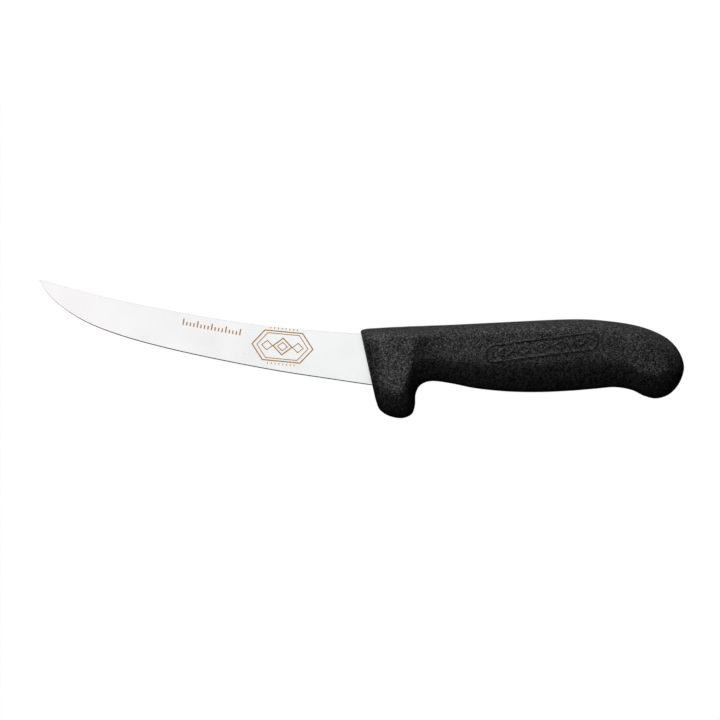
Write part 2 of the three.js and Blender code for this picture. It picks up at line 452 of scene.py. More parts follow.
class Cloudiness(EffectGroup):
    """Soft patches, such as the shine that hands leave and the haze that wiping leaves."""

    name = "cloudiness"
    inputs = (
        GroupSocket("Patch Size", default=0.02),
        GroupSocket("Contrast", default=1.0),
    )
    outputs = (GroupSocket("Mask"),)

    def draw(self, sheet: NodeSheet, entry: bpy.types.Node, leave: bpy.types.Node) -> None:
        """Draws a slow noise, with its contrast raised about the middle."""
        scale = sheet.math("DIVIDE", 1.0, entry.outputs["Patch Size"])
        cloud = sheet.noise(sheet.place(), scale, detail=3.0, roughness=0.5)
        centred = sheet.math("SUBTRACT", cloud, 0.5)
        raised = sheet.math("MULTIPLY", centred, entry.outputs["Contrast"])
        mask = sheet.add("ShaderNodeClamp")
        sheet.join(sheet.math("ADD", raised, 0.5), mask.inputs["Value"])
        sheet.join(mask.outputs["Result"], leave.inputs["Mask"])


class GrindingLines(EffectGroup):
    """Fine lines left by the wheel, which runs from the spine to the edge."""

    name = "grinding_lines"
    inputs = (
        GroupSocket("Line Width", default=0.0002),
        GroupSocket("Line Length", default=0.02),
    )
    outputs = (GroupSocket("Height"),)

    def draw(self, sheet: NodeSheet, entry: bpy.types.Node, leave: bpy.types.Node) -> None:
        """Draws a noise that is stretched along the wheel's way."""
        axes = sheet.axes()
        stretched = sheet.add("ShaderNodeCombineXYZ")
        across = sheet.math("DIVIDE", axes["X"], entry.outputs["Line Width"])
        along = sheet.math("DIVIDE", axes["Y"], entry.outputs["Line Length"])
        sheet.join(across, stretched.inputs["X"])
        sheet.join(along, stretched.inputs["Y"])
        lines = sheet.noise(stretched.outputs[0], 1.0, detail=2.0, roughness=0.7)
        sheet.join(lines, leave.inputs["Height"])


# ---- Finishes -------------------------------------------------------------------------


class Finish:
    """What each finish shares: a new node material with a Principled BSDF."""

    name = "finish"

    def start(self) -> tuple[bpy.types.Material, NodeSheet, bpy.types.Node]:
        """Makes the material and gives it, its nodes and its Principled BSDF."""
        material = bpy.data.materials.new(self.name)
        material.use_nodes = True
        shader = material.node_tree.nodes["Principled BSDF"]
        return material, NodeSheet(material.node_tree), shader

    @staticmethod
    def blend(
        sheet: NodeSheet, mask: bpy.types.NodeSocket, low: Colour, high: Colour
    ) -> bpy.types.NodeSocket:
        """Runs from one colour to another with a mask.

        Args:
            sheet: the material's nodes.
            mask: 0 for the low colour and 1 for the high one.
            low: linear colour.
            high: linear colour.

        Returns:
            The colour output.
        """
        ramp = sheet.add("ShaderNodeValToRGB")
        ramp.color_ramp.elements[0].color = (*low, 1.0)
        ramp.color_ramp.elements[1].color = (*high, 1.0)
        sheet.join(mask, ramp.inputs["Fac"])
        return ramp.outputs["Color"]

    @staticmethod
    def span(
        sheet: NodeSheet, value: bpy.types.NodeSocket, source: Pair, target: Pair
    ) -> bpy.types.NodeSocket:
        """Maps a value that runs over the surface from one range to another."""
        node = sheet.add("ShaderNodeMapRange")
        sheet.join(value, node.inputs["Value"])
        for name, limit in zip(("From Min", "From Max", "To Min", "To Max"), (*source, *target)):
            node.inputs[name].default_value = limit
        return node.outputs["Result"]

    @staticmethod
    def emboss(
        sheet: NodeSheet, shader: bpy.types.Node, height: bpy.types.NodeSocket, depth: float
    ) -> None:
        """Feeds a height to the shader's normal through a Bump node.

        Args:
            sheet: the material's nodes.
            shader: the Principled BSDF.
            height: the height, from 0 to about 1.
            depth: how deep a height of 1 is, in metres.
        """
        bump = sheet.add("ShaderNodeBump")
        bump.inputs["Strength"].default_value = 1.0
        bump.inputs["Distance"].default_value = depth
        sheet.join(height, bump.inputs["Height"])
        sheet.join(bump.outputs["Normal"], shader.inputs["Normal"])


@dataclass(frozen=True)
class Clouds:
    """How large the soft patches of a finish are, in metres, and how strong."""

    size: float
    contrast: float

    def mask(self, sheet: NodeSheet) -> bpy.types.NodeSocket:
        """Adds the patches to a material, and gives their mask."""
        made = Cloudiness().put(sheet, Patch_Size=self.size, Contrast=self.contrast)
        return made.outputs["Mask"]


@dataclass(frozen=True)
class GroundSteel(Finish):
    """Fine ground stainless steel, wiped clean."""

    name: str = "ground_steel"
    tip_tint: Colour = (0.955, 0.935, 0.945)
    heel_tint: Colour = (0.905, 0.92, 0.92)
    tint_reach: Pair = (-0.14, 0.0)
    roughness: Pair = (0.2, 0.3)
    haze: Clouds = Clouds(0.018, 1.6)
    line_width: float = 0.00018
    line_length: float = 0.03
    line_depth: float = 0.0000015

    def material(self) -> bpy.types.Material:
        """The steel, with its grinding lines and a faint change of tint along the blade."""
        material, sheet, shader = self.start()
        shader.inputs["Metallic"].default_value = 1.0
        along = self.span(sheet, sheet.axes()["X"], self.tint_reach, (0, 1))
        tint = self.blend(sheet, along, self.tip_tint, self.heel_tint)
        sheet.join(tint, shader.inputs["Base Color"])
        rough = self.span(sheet, self.haze.mask(sheet), (0, 1), self.roughness)
        sheet.join(rough, shader.inputs["Roughness"])
        lines = GrindingLines().put(sheet, Line_Width=self.line_width, Line_Length=self.line_length)
        self.emboss(sheet, shader, lines.outputs["Height"], self.line_depth)
        return material


@dataclass(frozen=True)
class LaserMark(Finish):
    """Brown oxide that a laser draws out of the steel."""

    name: str = "laser_mark"
    pale: Colour = (0.86, 0.47, 0.13)
    deep: Colour = (0.66, 0.33, 0.07)
    gloss: float = 0.15
    roughness: float = 0.6
    specks: Clouds = Clouds(0.0006, 2.0)

    def material(self) -> bpy.types.Material:
        """The oxide, whose brown varies as the beam's dots do."""
        material, sheet, shader = self.start()
        shader.inputs["Specular IOR Level"].default_value = self.gloss
        shader.inputs["Roughness"].default_value = self.roughness
        colour = self.blend(sheet, self.specks.mask(sheet), self.deep, self.pale)
        sheet.join(colour, shader.inputs["Base Color"])
        return material


@dataclass(frozen=True)
class GrainedPlastic(Finish):
    """Black moulded plastic with a non-slip grain, deeper over the grip than on the guard, whose
    colour holds painted shade on the lower grains and painted glints on the raised ones.
    """

    name: str = "grained_plastic"
    # The base colour runs from painted shade on the lower grains to painted glints on the raised
    # ones, mixed with each grain's random tone.
    valley_shade: Colour = (0.001, 0.001, 0.001)
    peak_glint: Colour = (0.045, 0.045, 0.046)
    gloss: Pair = (0.1, 1.0)
    roughness: Pair = (0.4, 0.32)
    wear: Clouds = Clouds(0.03, 1.5)
    grain_size: float = 0.0004
    unevenness: float = 0.6
    depth: float = 0.00012
    guard_share: float = 0.6
    grip_reach: Pair = (0.022, 0.036)

    def material(self) -> bpy.types.Material:
        """The plastic, with its grain, the shine that hands leave, and painted shade and glints:
        the lower grains darker and the raised ones lighter.
        """
        material, sheet, shader = self.start()
        grain = MouldedGrain().put(sheet, Grain_Size=self.grain_size, Unevenness=self.unevenness)
        # Painted shade and glints: the Peaks mask darkens the lower grains and lightens the raised
        # ones.
        colour = self.blend(sheet, grain.outputs["Peaks"], self.valley_shade, self.peak_glint)
        sheet.join(colour, shader.inputs["Base Color"])
        gloss = self.span(sheet, grain.outputs["Peaks"], (0, 1), self.gloss)
        sheet.join(gloss, shader.inputs["Specular IOR Level"])
        rough = self.span(sheet, self.wear.mask(sheet), (0, 1), self.roughness)
        sheet.join(rough, shader.inputs["Roughness"])
        share = self.span(sheet, sheet.axes()["X"], self.grip_reach, (self.guard_share, 1))
        height = sheet.math("MULTIPLY", grain.outputs["Height"], share)
        self.emboss(sheet, shader, height, self.depth)
        return material


@dataclass(frozen=True)
class CorePlastic(Finish):
    """Hard grey plastic of the handle's core, with the flow marks of its moulding."""

    name: str = "core_plastic"
    dark: Colour = (0.13, 0.14, 0.15)
    light: Colour = (0.19, 0.2, 0.21)
    flow: Clouds = Clouds(0.012, 1.8)
    roughness: float = 0.62
    grain_size: float = 0.0006
    unevenness: float = 0.4
    depth: float = 0.00004

    def material(self) -> bpy.types.Material:
        """The plastic, with a fine grain and cloudy flow marks."""
        material, sheet, shader = self.start()
        colour = self.blend(sheet, self.flow.mask(sheet), self.dark, self.light)
        sheet.join(colour, shader.inputs["Base Color"])
        shader.inputs["Roughness"].default_value = self.roughness
        grain = MouldedGrain().put(sheet, Grain_Size=self.grain_size, Unevenness=self.unevenness)
        self.emboss(sheet, shader, grain.outputs["Height"], self.depth)
        return material


@dataclass(frozen=True)
class StudioFloor(Finish):
    """White sweep whose painted glow behind the spine lights the knife's gloss in place of a lamp:
    plain white to the eye, dim in front in gloss.
    """

    name: str = "studio_floor"
    dim: float = 0.05
    back_glow: float = 1.1
    glow_reach: Pair = (0.0, 0.12)
    roughness: float = 0.9

    def material(self) -> bpy.types.Material:
        """The sweep: it glows for the camera, and for other rays only behind the knife."""
        material, sheet, shader = self.start()
        seen = sheet.add("ShaderNodeLightPath").outputs["Is Camera Ray"]
        behind = self.span(sheet, sheet.axes()["Y"], self.glow_reach, (0, self.back_glow))
        sheet.join(sheet.math("MAXIMUM", seen, behind), shader.inputs["Emission Strength"])
        shader.inputs["Emission Color"].default_value = (1, 1, 1, 1)
        shader.inputs["Base Color"].default_value = (self.dim, self.dim, self.dim, 1)
        shader.inputs["Roughness"].default_value = self.roughness
        return material


# ---- Drawn lines ----------------------------------------------------------------------


@dataclass(frozen=True)
class Stroke:
    """A line of even width through points of the drawing, open or closed on itself."""

    points: tuple[Pair, ...]
    width: float
    closed: bool = False

    def moved(self, centre: Pair, degrees: float) -> "Stroke":
        """The same stroke, turned about the motif's own centre and then put in place.

        Args:
            centre: where the motif's centre goes.
            degrees: the turn, anticlockwise.

        Returns:
            The new stroke.
        """
        turn = math.radians(degrees)
        cos, sin = math.cos(turn), math.sin(turn)
        placed = tuple(
            (centre[0] + u * cos - v * sin, centre[1] + u * sin + v * cos) for u, v in self.points
        )
        return Stroke(placed, self.width, self.closed)

    def sides(self) -> tuple[np.ndarray, np.ndarray]:
        """The two sides of the stroke, mitred at its corners."""
        points = np.array(self.points)
        if self.closed:
            before, after = np.roll(points, 1, axis=0), np.roll(points, -1, axis=0)
        else:
            before = np.vstack([2 * points[0] - points[1], points[:-1]])
            after = np.vstack([points[1:], 2 * points[-1] - points[-2]])
        come = (points - before) / np.linalg.norm(points - before, axis=1)[:, None]
        go = (after - points) / np.linalg.norm(after - points, axis=1)[:, None]
        mean = come + go
        mean /= np.linalg.norm(mean, axis=1)[:, None]
        normal = np.column_stack([-mean[:, 1], mean[:, 0]])
        spread = self.width / 2 / np.maximum((mean * come).sum(axis=1), 0.5)
        return points + normal * spread[:, None], points - normal * spread[:, None]

    def distance(self, u: np.ndarray, v: np.ndarray) -> np.ndarray:
        """How far drawing points are from the stroke's middle line.

        Args:
            u: their u.
            v: their v.

        Returns:
            The distances.
        """
        points = [*self.points, self.points[0]] if self.closed else self.points
        nearest = np.full(len(u), np.inf)
        for a, b in zip(points, points[1:]):
            du, dv = b[0] - a[0], b[1] - a[1]
            share = ((u - a[0]) * du + (v - a[1]) * dv) / (du * du + dv * dv)
            share = np.clip(share, 0, 1)
            nearest = np.minimum(nearest, np.hypot(u - a[0] - share * du, v - a[1] - share * dv))
        return nearest


def diamond(u: float, reach: Pair, width: float) -> Stroke:
    """A rhombus outline about a place along the motif, with its half width and half height."""
    wide, high = reach
    return Stroke(((u - wide, 0), (u, high), (u + wide, 0), (u, -high)), width, True)


def spaced(count: int, pitch: float) -> list[float]:
    """Places in an even row about 0."""
    return [(i - (count - 1) / 2) * pitch for i in range(count)]


def capsule(half_length: float, half_height: float, width: float, steps: int = 12) -> Stroke:
    """An outline with straight sides and round ends, about the origin."""
    turns = np.linspace(-math.pi / 2, math.pi / 2, steps)
    straight = half_length - half_height
    right = [(straight + half_height * math.cos(a), half_height * math.sin(a)) for a in turns]
    left = [(-u, -v) for u, v in right]
    return Stroke((*right, *left), width, True)


@dataclass(frozen=True)
class Emblem:
    """A plain geometric mark on the blade: a long hexagon with diamonds in it."""

    centre: Pair = (-35.0, -7.2)
    tilt: float = -5.5
    half_length: float = 13.6
    half_height: float = 6.6
    cut: float = 5.2
    inner_scale: float = 0.84
    line: float = 0.55
    fine_line: float = 0.4
    middle_diamond: Pair = (4.2, 3.7)
    inner_diamond: Pair = (2.2, 1.9)
    side_diamond: Pair = (2.4, 2.1)
    side_gap: float = 6.9
    ticks: int = 8
    tick_pitch: float = 1.7
    tick_gap: float = 0.9
    tick_length: float = 0.75

    def hexagon(self, scale: float, width: float) -> Stroke:
        """The hexagon's outline at a scale."""
        a, b, c = (scale * x for x in (self.half_length, self.half_height, self.cut))
        corners = ((-a, 0), (c - a, b), (a - c, b), (a, 0), (a - c, -b), (c - a, -b))
        return Stroke(corners, width, True)

    def strokes(self) -> list[Stroke]:
        """All lines of the emblem, in place on the blade."""
        lines = [self.hexagon(1.0, self.line), self.hexagon(self.inner_scale, self.fine_line)]
        lines.append(diamond(0, self.middle_diamond, self.line))
        lines.append(diamond(0, self.inner_diamond, self.fine_line))
        for side in (-1, 1):
            lines.append(diamond(side * self.side_gap, self.side_diamond, self.fine_line))
            foot = side * (self.half_height + self.tick_gap)
            tip = foot + side * self.tick_length
            for u in spaced(self.ticks, self.tick_pitch):
                lines.append(Stroke(((u, foot), (u, tip)), self.fine_line))
        return [line.moved(self.centre, self.tilt) for line in lines]


@dataclass(frozen=True)
class GaugeRow:
    """A row of short bars on the blade, some of them longer at even steps."""

    centre: Pair = (-66.4, 1.5)
    tilt: float = -10.5
    bars: int = 17
    long_step: int = 4
    pitch: float = 1.6
    short: float = 1.7
    long: float = 2.9
    line: float = 0.6

    def strokes(self) -> list[Stroke]:
        """The bars, in place on the blade."""
        lines = []
        foot = -self.long / 2
        for i, u in enumerate(spaced(self.bars, self.pitch)):
            length = self.long if i % self.long_step == 0 else self.short
            lines.append(Stroke(((u, foot), (u, foot + length)), self.line))
        return [line.moved(self.centre, self.tilt) for line in lines]


@dataclass(frozen=True)
class CheekRelief:
    """Raised lines on both cheeks of the grip: a long capsule with a chain of diamonds."""

    centre: Pair = (80.0, -7.6)
    tilt: float = 7.5
    half_length: float = 25.0
    half_height: float = 3.7
    line: float = 1.15
    rise: float = 0.4
    diamonds: int = 5
    diamond_reach: Pair = (3.2, 1.7)
    pitch: float = 8.2
    margin: float = 3.0

    def strokes(self) -> list[Stroke]:
        """All raised lines, in place on the cheek."""
        lines = [capsule(self.half_length, self.half_height, self.line)]
        for u in spaced(self.diamonds, self.pitch):
            lines.append(diamond(u, self.diamond_reach, self.line))
        return [line.moved(self.centre, self.tilt) for line in lines]

    def covers(self, u: float) -> bool:
        """Whether the relief reaches a place along the handle."""
        return abs(u - self.centre[0]) < self.half_length + self.margin

    def height(self, u: np.ndarray, v: np.ndarray) -> np.ndarray:
        """How far the cheek is raised at drawing points.

        Args:
            u: their u.
            v: their v.

        Returns:
            The rise at each point.
        """
        rise = np.zeros(len(u))
        near = np.abs(u - self.centre[0]) < self.half_length + self.line
        if near.any():
            for stroke in self.strokes():
                gap = np.clip(stroke.distance(u[near], v[near]) / (stroke.width / 2), 0, 1)
                rise[near] = np.maximum(rise[near], self.rise * (1 + np.cos(math.pi * gap)) / 2)
        return rise


# ---- Blade ----------------------------------------------------------------------------


@dataclass
class Blade:
    """The steel blank: the ground blade, the tang inside the handle, and the laser marks."""

    ribs: tuple[BladeRib, ...] = BLADE_RIBS
    steel_half: float = 1.25
    tip_half: float = 0.35
    edge_half: float = 0.04
    bevel_depth: Pair = (0.12, 0.45)
    bevel_grown: float = 4.0
    bevel_half: float = 0.18
    tip_slope: float = 0.05
    chamfer: Pair = (0.06, 0.15)
    most_chamfer: float = 0.125
    most_bevel: float = 0.4
    most_bevel_half: float = 0.8
    steps: int = 12
    cheek_steps: int = 8
    search_steps: int = 24

    tang_top: float = -5.0
    tang_front: Pair = (8.0, 15.5)
    tang_end: Pair = (98.0, 11.0)
    tang_steps: int = 10
    hole_radius: float = 3.0
    hole_sides: int = 32
    holes: tuple[float, ...] = (26.0, 52.0, 78.0)

    emblem: Emblem = Emblem()
    gauge: GaugeRow = GaugeRow()
    mark_rise: float = 0.015

    steel_crease: float = 8.0
    mark_crease: float = 30.0
    finish: GroundSteel = GroundSteel()
    mark_finish: LaserMark = LaserMark()

    def __post_init__(self) -> None:
        """Draws the two rails that the blade is ground between."""
        self.spine = Rail([rib.spine for rib in self.ribs])
        self.edge = Rail([rib.edge for rib in self.ribs])

    def spine_half(self, station: float, height: float) -> float:
        """Half the thickness of the spine.

        Args:
            station: where along the ribs.
            height: the blade's height there, which keeps the tip from being blunt.

        Returns:
            The half thickness, in millimetres.
        """
        share = math.sqrt(station / self.spine.last)
        half = self.tip_half + (self.steel_half - self.tip_half) * share
        return min(half, self.bevel_half + self.tip_slope * height)

    def bevel(self, station: float) -> float:
        """How far the sharpened bevel reaches up from the edge, which is least at the tip."""
        low, high = self.bevel_depth
        return low + (high - low) * smoothstep(station, 0, self.bevel_grown)

    def section(self, station: float) -> np.ndarray:
        """One closed ring across the blade.

        Args:
            station: where along the ribs.

        Returns:
            Points from the spine down the upper side to the edge, and back up the lower.
        """
        top = self.spine.at(station)
        bottom = self.edge.at(station)
        height = float(np.linalg.norm(top - bottom))
        half = self.spine_half(station, height)
        chamfer = min(self.chamfer[0], height * self.most_chamfer)
        bevel = min(self.bevel(station), height * self.most_bevel)
        bevel_half = min(self.bevel_half, half * self.most_bevel_half)
        profile = [(0.0, half - min(self.chamfer[1], half / 2)), (chamfer, half)]
        for j in range(1, self.cheek_steps + 1):
            share = j / self.cheek_steps
            depth = chamfer + (height - bevel - chamfer) * share
            profile.append((depth, half + (bevel_half - half) * share))
        profile.append((height, self.edge_half))
        down = (bottom - top) / height
        upper = [(*(top + down * depth), w) for depth, w in profile]
        lower = [(u, v, -w) for u, v, w in reversed(upper)]
        return np.array(upper + lower)

    def surface(self, u: float, v: float) -> float:
        """Height of the upper cheek over the blade's middle plane, at a drawing point."""
        low, high = 0.0, float(self.spine.last)
        for _ in range(self.search_steps):
            middle = (low + high) / 2
            top = self.spine.at(middle)
            bottom = self.edge.at(middle)
            share = (v - bottom[1]) / (top[1] - bottom[1])
            if bottom[0] + (top[0] - bottom[0]) * share < u:
                low = middle
            else:
                high = middle
        height = float(np.linalg.norm(top - bottom))
        half = self.spine_half(low, height)
        depth = (1 - share) * height - self.chamfer[0]
        flat = height - self.bevel(low) - self.chamfer[0]
        return half + (self.bevel_half - half) * depth / flat

    def tang_rings(self, size: int) -> list[np.ndarray]:
        """Rings of the tang, from the blade's heel to its round end.

        Args:
            size: how many points a ring has.

        Returns:
            The rings, in the same order of points as the blade's own.
        """
        front_u, front_height = self.tang_front
        end_u, end_height = self.tang_end
        radius = end_height / 2
        shares = np.linspace(0, 1, size // 2)
        heel_top, heel_edge = self.ribs[-1].spine, self.ribs[-1].edge
        heel_v = self.tang_top - front_height * shares
        heel_share = (heel_top[1] - heel_v) / (heel_top[1] - heel_edge[1])
        heel_u = heel_top[0] + (heel_edge[0] - heel_top[0]) * heel_share
        rings = [self.slab_ring(heel_u, heel_v)]
        stations = []
        for i in range(self.tang_steps + 1):
            share = i / self.tang_steps
            height = front_height + (end_height - front_height) * share
            stations.append((front_u + (end_u - radius - front_u) * share, self.tang_top, height))
        for i in range(1, self.tang_steps):
            turn = i / self.tang_steps * math.pi / 2
            height = end_height * math.cos(turn)
            top = self.tang_top - radius * (1 - math.cos(turn))
            stations.append((end_u - radius * (1 - math.sin(turn)), top, height))
        for u, top, height in stations:
            rings.append(self.slab_ring(np.full(len(shares), u), top - height * shares))
        return rings

    def slab_ring(self, u: np.ndarray, v: np.ndarray) -> np.ndarray:
        """A ring across the tang, down its upper face and back up the lower."""
        upper = np.column_stack([u, v, np.full(len(u), self.steel_half)])
        return np.vstack([upper, upper[::-1] * (1, 1, -1)])

    def build_steel(self, drawing: Drawing) -> bpy.types.Object:
        """Makes the blank, with the tang's holes cut through it."""
        draft = MeshDraft()
        count = self.spine.last * self.steps
        rings = [self.section(i / self.steps) for i in range(count + 1)]
        rings += self.tang_rings(len(rings[0]))
        placed = draft.loft(rings)
        draft.cap(placed[0])
        draft.cap(placed[-1])
        steel = draft.finish("blade_steel", drawing)
        self.cut_holes(steel, drawing)
        crease(steel, self.steel_crease)
        return steel

    def cut_holes(self, steel: bpy.types.Object, drawing: Drawing) -> None:
        """Cuts the holes that the handle's core grips the tang by."""
        draft = MeshDraft()
        middle_v = self.tang_top - self.tang_end[1] / 2
        turns = np.linspace(0, 2 * math.pi, self.hole_sides, endpoint=False)
        round_v = middle_v + self.hole_radius * np.sin(turns)
        reach = 2 * self.steel_half
        ends = [np.full(self.hole_sides, w) for w in (-reach, reach)]
        for u in self.holes:
            round_u = u + self.hole_radius * np.cos(turns)
            for ring in draft.loft([np.column_stack([round_u, round_v, end]) for end in ends]):
                draft.faces.append(tuple(ring))
        pins = draft.finish("hole_pins", drawing)
        cutter = steel.modifiers.new("holes", "BOOLEAN")
        cutter.operation = "DIFFERENCE"
        cutter.solver = "EXACT"
        cutter.object = pins
        bpy.context.view_layer.update()
        graph = bpy.context.evaluated_depsgraph_get()
        cut = bpy.data.meshes.new_from_object(steel.evaluated_get(graph))
        steel.modifiers.remove(cutter)
        steel.data = cut
        bpy.data.objects.remove(pins)

    def build_marks(self, drawing: Drawing) -> bpy.types.Object:
        """Makes the laser marks as a thin skin on the upper cheek."""
        draft = MeshDraft()
        for stroke in [*self.emblem.strokes(), *self.gauge.strokes()]:
            self.lay_stroke(draft, stroke)
        marks = draft.finish("blade_marks", drawing, weld=1e-7)
        crease(marks, self.mark_crease)
        return marks

    def lay_stroke(self, draft: MeshDraft, stroke: Stroke) -> None:
        """Lays one stroke on the upper cheek.

        Args:
            draft: the mesh that it is added to.
            stroke: the line to follow.
        """
        left, right = stroke.sides()
        rings = []
        for a, b in zip(left, right):
            high_a = self.surface(*a)
            high_b = self.surface(*b)
            top = self.mark_rise
            ring = [(*a, high_a + top), (*b, high_b + top), (*b, high_b - top), (*a, high_a - top)]
            rings.append(np.array(ring))
        if stroke.closed:
            rings.append(rings[0])
        placed = draft.loft(rings)
        if not stroke.closed:
            draft.faces.append(tuple(placed[0]))
            draft.faces.append(tuple(reversed(placed[-1])))

    def build(self, drawing: Drawing) -> list[bpy.types.Object]:
        """Makes and dresses the blade's pieces, and ties them to the frame."""
        steel = self.build_steel(drawing)
        dress(steel, self.finish.material())
        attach(steel, ROOT_BODY)
        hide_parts("blade")
        marks = self.build_marks(drawing)
        dress(marks, self.mark_finish.material())
        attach(marks, ROOT_BODY)
        return [steel, marks]


# ---- Handle ---------------------------------------------------------------------------


@dataclass
class HandleCore:
    """The hard first shot of the handle, which keeps its CAD shape inside the grip."""

    finish: CorePlastic = CorePlastic()

    def build(self) -> list[bpy.types.Object]:
        """Dresses the CAD core through the object's own material slots."""
        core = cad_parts["handle_core"]
        material = self.finish.material()
        for slot in core.material_slots:
            slot.link = "OBJECT"
            slot.material = material
        return [core]


@dataclass
class HandleGrip:
    """The grained second shot: finger guard, notch, palm swell and hooked butt."""

    ribs: tuple[HandleRib, ...] = HANDLE_RIBS
    rest_half: float = 12.0
    rest_softness: float = 0.25
    hip_softness: float = 0.1
    butt_fade_start: float = 0.85
    wall: float = 3.1
    front_wall: float = 3.7
    edge_radius: float = 1.0
    edge_steps: int = 7
    face_steps: int = 4
    slot_gap: float = 0.05
    slot_station_back: float = 0.35
    mouth_station: float = 1.6
    cavity_station: float = 2.2
    cavity_steps: int = 3
    crease_angle: float = 50.0

    fine_spacing: float = 0.32
    coarse_spacing: float = 0.75
    flat_shares: int = 40
    round_shares: int = 13
    flat_reach: float = 0.62

    relief: CheekRelief = CheekRelief()
    finish: GrainedPlastic = GrainedPlastic()

    def __post_init__(self) -> None:
        """Draws the rails, led on past the butt's end by a folded rib, and the shares."""
        last = self.ribs[-2]
        hip = tuple((a + b) / 2 for a, b in zip(last.shoulder, last.back))
        ribs = (*self.ribs, HandleRib(last.belly, last.shoulder, hip, last.back, last.wide))
        self.back = Rail([rib.back for rib in ribs])
        self.crown = Rail([(*rib.shoulder, rib.wide) for rib in ribs])
        self.hip = Rail([rib.hip for rib in ribs])
        self.belly = Rail([rib.belly for rib in ribs])
        self.end = len(self.ribs) - 1
        flat = np.linspace(0, self.flat_reach, self.flat_shares)
        turns = np.linspace(math.asin(self.flat_reach), math.pi / 2, self.round_shares)[1:]
        self.shares = np.concatenate([flat, np.sin(turns)])

    def front_u(self, v: np.ndarray) -> np.ndarray:
        """u of the front face at a height v."""
        face_u, face_v = self.ribs[0].back
        return face_u - FRONT_LEAN * (v - face_v)

    def level(self, half: np.ndarray, inset: float) -> np.ndarray:
        """Flattens the widest places, so that the knife rests on them.

        Args:
            half: distance from the blade's middle plane.
            inset: how far the form is moved in.

        Returns:
            The same distances, with those past the rest plane eased down to it.
        """
        start = self.rest_half - inset - self.rest_softness
        over = np.maximum(half - start, 0) / self.rest_softness
        return np.where(over > 0, start + self.rest_softness * (1 - np.exp(-over)), half)

    def turned(self, bend: float) -> np.ndarray:
        """How far a section has turned under at each share of the way to the finger line.

        Args:
            bend: the share at which the cheek turns, before which it stays almost flat.

        Returns:
            Values from 0 at the crown to 1 at the outline.
        """
        start = math.hypot(bend, self.hip_softness)
        rise = self.shares * bend / start + np.hypot(self.shares - bend, self.hip_softness) - start
        return rise / rise[-1]

    def side(self, station: float, inset: float) -> np.ndarray:
        """The upper half of a section, from the spine line to the finger line.

        Args:
            station: where along the ribs.
            inset: how far the form is moved in, in millimetres.

        Returns:
            Points u, v, w, with w at or above 0.
        """
        crown = self.crown.at(station)
        half = crown[2] - inset
        middle = crown[:2]
        back = self.back.at(station)
        hip = self.hip.at(station)
        belly = self.belly.at(station)
        back = back + (middle - back) * inset / np.linalg.norm(middle - back)
        belly = belly + (hip - belly) * inset / np.linalg.norm(hip - belly)
        shares = self.shares[:, None]

        upper = middle + (back - middle) * shares
        upper_w = half * np.sqrt(1 - self.shares**2)

        near = np.linalg.norm(middle - hip)
        bend = near / (near + np.linalg.norm(hip - belly))
        control = (hip - (1 - bend) ** 2 * middle - bend**2 * belly) / (2 * bend * (1 - bend))
        lower = middle * (1 - shares) ** 2 + control * 2 * shares * (1 - shares) + belly * shares**2
        fade = smoothstep(station / self.end, self.butt_fade_start, 1)
        drop = (1 - fade) * self.turned(bend) + fade * self.shares**2
        lower_w = half * np.sqrt(np.maximum(1 - drop, 0))

        flat = np.vstack([upper[::-1], lower[1:]])
        w = self.level(np.concatenate([upper_w[::-1], lower_w[1:]]), inset)
        return np.column_stack([flat, w])

    def ring(self, side: np.ndarray) -> np.ndarray:
        """A whole section from its upper half."""
        under = side[-2:0:-1] * (1, 1, -1)
        return np.vstack([side, under])

    def outer_stations(self) -> list[float]:
        """Stations of the outer surface, front to butt, closest where the relief lies."""
        stations = []
        for i in range(self.end):
            middle = (self.crown.at(i)[:2] + self.crown.at(i + 1)[:2]) / 2
            length = max(
                np.linalg.norm(self.back.at(i) - self.back.at(i + 1)),
                np.linalg.norm(self.belly.at(i) - self.belly.at(i + 1)),
            )
            fine = self.relief.covers(middle[0])
            steps = math.ceil(length / (self.fine_spacing if fine else self.coarse_spacing))
            stations += [i + j / steps for j in range(steps)]
        return [*stations, float(self.end)]

    def outer_rings(self) -> list[np.ndarray]:
        """Rings of the grained surface, butt to front, with the relief raised on both cheeks."""
        rings = []
        turn_in = self.edge_radius / (self.back.at(1)[0] - self.back.at(0)[0])
        for station in reversed([s for s in self.outer_stations() if s > turn_in]):
            side = self.side(station, 0.0)
            side[:, 2] += self.relief.height(side[:, 0], side[:, 1])
            rings.append(self.ring(side))
        for j in range(self.edge_steps + 1):
            turn = j / self.edge_steps * math.pi / 2
            station = turn_in * (1 - math.sin(turn))
            rings.append(self.ring(self.side(station, self.edge_radius * (1 - math.cos(turn)))))
        return rings

    def slot_side(self, side: np.ndarray, blade: Blade) -> np.ndarray:
        """Upper half of the slot that hugs the blade, at the front face.

        Args:
            side: upper half of the front face's outline.
            blade: the blade that passes through.

        Returns:
            As many points, around the blade's own section.
        """
        heel = blade.section(blade.spine.last - self.slot_station_back)
        top = heel[:, 1].max() + self.slot_gap
        bottom = heel[:, 1].min() - self.slot_gap
        share = (side[:, 1] - side[-1, 1]) / (side[0, 1] - side[-1, 1])
        v = bottom + (top - bottom) * np.clip(share, 0, 1)
        heights = [bottom, bottom + blade.bevel_depth[1], top]
        half = np.interp(v, heights, [blade.edge_half, blade.bevel_half, blade.steel_half])
        w = np.minimum(side[:, 2], half + self.slot_gap)
        return np.column_stack([self.front_u(v), v, w])

